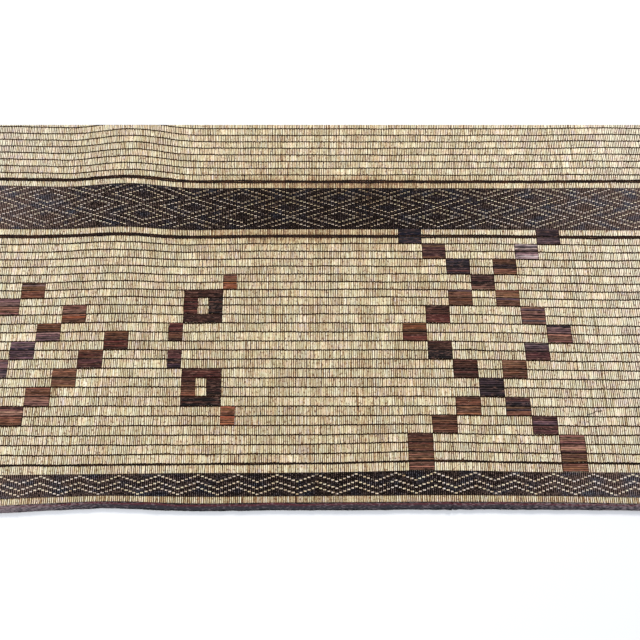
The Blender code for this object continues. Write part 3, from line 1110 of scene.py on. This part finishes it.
def make_right_ornament(material):
    """Two diamonds of blocks, one behind the other, whose sides open towards both bands."""
    made = []
    for step in range(RIGHT_STEPS):
        first = BLOCK_GAPS * step - 1
        gaps = range(first, first + (LAST_BLOCK_GAPS if step == RIGHT_STEPS - 1 else BLOCK_GAPS))
        away = abs(RIGHT_CENTRE_COLUMN - step % (2 * RIGHT_CENTRE_COLUMN))
        for column in sorted({RIGHT_CENTRE_COLUMN - away, RIGHT_CENTRE_COLUMN + away}):
            number = len(made)
            left = RIGHT_ORNAMENT_LEFT + BLOCK_WIDTH * column
            *dyes, stray = RIGHT_DYES[number]
            rows = dyed_bars(gaps, left, BLOCK_WIDTH, dyes)
            name = f"block_right_{number + 1:02d}"
            made.append(make_strips(name, rows, stray, material, SEED + 100 + number))
    return made


def make_left_ornament(material):
    """Three stairs of blocks, each down to the left."""
    made = []
    for right_edge, first_gap, count in LEFT_STAIRS:
        for step in range(count):
            number = len(made)
            first = first_gap + BLOCK_GAPS * step
            left = right_edge - BLOCK_WIDTH * (step + 1)
            *dyes, stray = LEFT_DYES[number]
            rows = dyed_bars(range(first, first + BLOCK_GAPS), left, BLOCK_WIDTH, dyes)
            name = f"block_left_{number + 1:02d}"
            made.append(make_strips(name, rows, stray, material, SEED + 200 + number))
    return made


def make_middle_ornament(material):
    """Four small blocks, and two square frames of four walls each."""
    made = []
    for number, (left, first) in enumerate(SMALL_BLOCKS):
        *dyes, stray = SMALL_DYES[number]
        rows = dyed_bars(range(first, first + BLOCK_GAPS), left, SMALL_WIDTH, dyes)
        name = f"block_middle_{number + 1:02d}"
        made.append(make_strips(name, rows, stray, material, SEED + 300 + number))
    for number, (left, first) in enumerate(FRAMES):
        far_dye, left_dye, right_dye, near_dye, stray = FRAME_DYES[number]
        last = first + FRAME_GAPS - 1
        walls = range(first + 1, last)
        rows = dyed_bars([first], left, FRAME_WIDTH, [far_dye])
        rows += dyed_bars(walls, left, SMALL_WIDTH, [left_dye])
        rows += dyed_bars(walls, left + FRAME_WIDTH - SMALL_WIDTH, SMALL_WIDTH, [right_dye])
        rows += dyed_bars([last], left, FRAME_WIDTH, [near_dye])
        name = f"frame_middle_{number + 1:02d}"
        made.append(make_strips(name, rows, stray, material, SEED + 400 + number))
    return made


# Where two lengths of the binding meet, and how they swell there: (from the joint, swell)
BINDING_JOINT = 182.8
EDGE_WEAR_X = (-420, -330, -200, 250, 450)
EDGE_WEAR = (1.3, 0.4, -0.35, -0.15, 0.45)
JOINT_SWELL = ((-9, 0.0), (-3, 0.5), (-0.9, 0.4), (0.0, -1.3), (0.9, 0.3), (3, 0.4), (9, 0.0))

# Steps round the front of the roll, and the first and last corner that swell and crease
NOSE_STEPS = 9
OUTER_CORNERS = (3, 12)

# How far round the roll, from its back to its front face, each corner of its section lies
FOLD_CORNERS = (3, 4, 5, 7, 9, 11)
FOLDS = (0.0, 0.14, 0.54, 0.76, 0.93, 1.0)


def make_binding(material):
    """The rolled leather edge, with its creases and the joint between two lengths of it."""
    rng = np.random.default_rng(SEED + 3)
    radius = BINDING_HEIGHT / 2
    section = [
        (POCKET_FRONT, POCKET_TOP),
        (BINDING_WIDTH, POCKET_TOP),
        (BINDING_WIDTH, BINDING_BACK_HEIGHT),
        (BINDING_WIDTH - radius / 2, BINDING_HEIGHT - 0.25),
        (BINDING_WIDTH - radius, BINDING_HEIGHT),
    ]
    for k in range(NOSE_STEPS, -1, -1):
        turn = math.pi * k / NOSE_STEPS
        section.append((radius - radius * math.sin(turn), radius - radius * math.cos(turn)))
    section += [(BINDING_WIDTH, 0.0), (BINDING_WIDTH, BINDING_LIP), (POCKET_FRONT, BINDING_LIP)]
    section = np.array(section)
    sides = len(section)
    joint_x = [BINDING_JOINT + offset for offset, _ in JOINT_SWELL]
    ring_x = np.sort(np.concatenate((np.linspace(-HALF_WIDTH, HALF_WIDTH, 260), joint_x)))
    rings = len(ring_x)
    mesh, copy, ring, corner = make_bars(sides, rings, 1)
    x = ring_x[ring]
    y, z = section[corner].T
    outer = (corner >= OUTER_CORNERS[0]) & (corner <= OUTER_CORNERS[1])
    swell = waver(rng, 1, rings, 7, 0.16)[0][ring] + waver(rng, 1, rings, 31, 0.16)[0][ring]
    swell = swell + np.interp(x, joint_x, [size for _, size in JOINT_SWELL])
    crease = waver(rng, sides, rings, 3, 0.10)[corner, ring]
    out_y = (y - radius) / radius
    out_z = (z - radius) / radius
    push = np.where(outer, swell + crease, 0.0)
    y = y + push * np.where(y < radius, out_y, 0)
    z = np.maximum(z + push * np.where(z > radius, out_z, 0), 0.0)
    lay_down(mesh, x, y, z)
    note(mesh, "fold", np.interp(corner, FOLD_CORNERS, FOLDS))
    note(mesh, "wear", np.interp(x, EDGE_WEAR_X, EDGE_WEAR))
    return finish_piece("binding_roll", mesh, material, ["front_binding"])


def make_floor():
    """A plain pale floor, bigger than the picture."""
    bm = bmesh.new()
    bmesh.ops.create_grid(bm, x_segments=1, y_segments=1, size=6.0)
    mesh = bpy.data.meshes.new("floor")
    bm.to_mesh(mesh)
    bm.free()
    mesh.materials.append(floor_material())
    floor = bpy.data.objects.new("floor", mesh)
    bpy.context.scene.collection.objects.link(floor)


# The photograph's view: height above the floor, distance in front of the bound edge, and aim
CAMERA_HEIGHT = 1.41
CAMERA_BEFORE_EDGE = 0.549
CAMERA_DOWN = 59.94
CAMERA_LENS = 69.6
CAMERA_SHIFT_X = 18.9 / 640


def make_camera():
    """The photograph's view of the mat."""
    data = bpy.data.cameras.new("camera")
    data.lens = CAMERA_LENS
    data.sensor_width = 36.0
    data.shift_x = CAMERA_SHIFT_X
    camera = bpy.data.objects.new("camera", data)
    camera.location = (0, -MIDDLE_Y * MM - CAMERA_BEFORE_EDGE, CAMERA_HEIGHT)
    camera.rotation_euler = (math.radians(90 - CAMERA_DOWN), 0, 0)
    bpy.context.scene.collection.objects.link(camera)
    bpy.context.scene.camera = camera


LIGHTS = (
    # name, place, size, watts, colour
    ("front_light", (-0.9, -1.6, 2.7), 1.2, 64, "#ffffff"),
    ("back_light", (0.5, 1.7, 1.7), 0.7, 44, "#fffaf4"),
)


def make_lights():
    """Soft studio light: a cool surround, a light over the front edge and a lower one behind."""
    world = bpy.data.worlds.new("studio")
    bpy.context.scene.world = world
    world.use_nodes = True
    background = world.node_tree.nodes["Background"]
    background.inputs["Color"].default_value = (*linear("#e0ebff"), 1)
    background.inputs["Strength"].default_value = 0.47
    for name, place, size, watts, colour in LIGHTS:
        data = bpy.data.lights.new(name, "AREA")
        data.shape = "SQUARE"
        data.size = size
        data.energy = watts
        data.color = linear(colour)
        light = bpy.data.objects.new(name, data)
        light.location = place
        light.rotation_euler = (-Vector(place)).to_track_quat("-Z", "Y").to_euler()
        bpy.context.scene.collection.objects.link(light)


def main():
    bpy.context.scene.view_settings.view_transform = "Standard"
    make_camera()
    make_lights()
    make_floor()
    thong = thong_material()
    band = band_material()
    block = block_material()
    panels = make_reeds(reed_material())
    extras = [
        make_thongs("thongs_near_field", NEAR_ROWS[:-1], thong, SEED + 10),
        make_thongs("thongs_far_field", FAR_FIELD_ROWS, thong, SEED + 11),
        make_loose_end(thong),
        make_band(
            "narrow_band",
            *NARROW_BAND,
            NARROW_STRIPS,
            NARROW_COVER,
            NARROW_WEAR,
            narrow_dots,
            band,
            SEED + 12,
        ),
        make_band(
            "wide_band",
            *WIDE_BAND,
            WIDE_STRIPS,
            WIDE_COVER,
            WIDE_WEAR,
            wide_dots,
            band,
            SEED + 13,
        ),
        make_binding(binding_material()),
    ]
    extras += make_right_ornament(block)
    extras += make_left_ornament(block)
    extras += make_middle_ornament(block)


main()
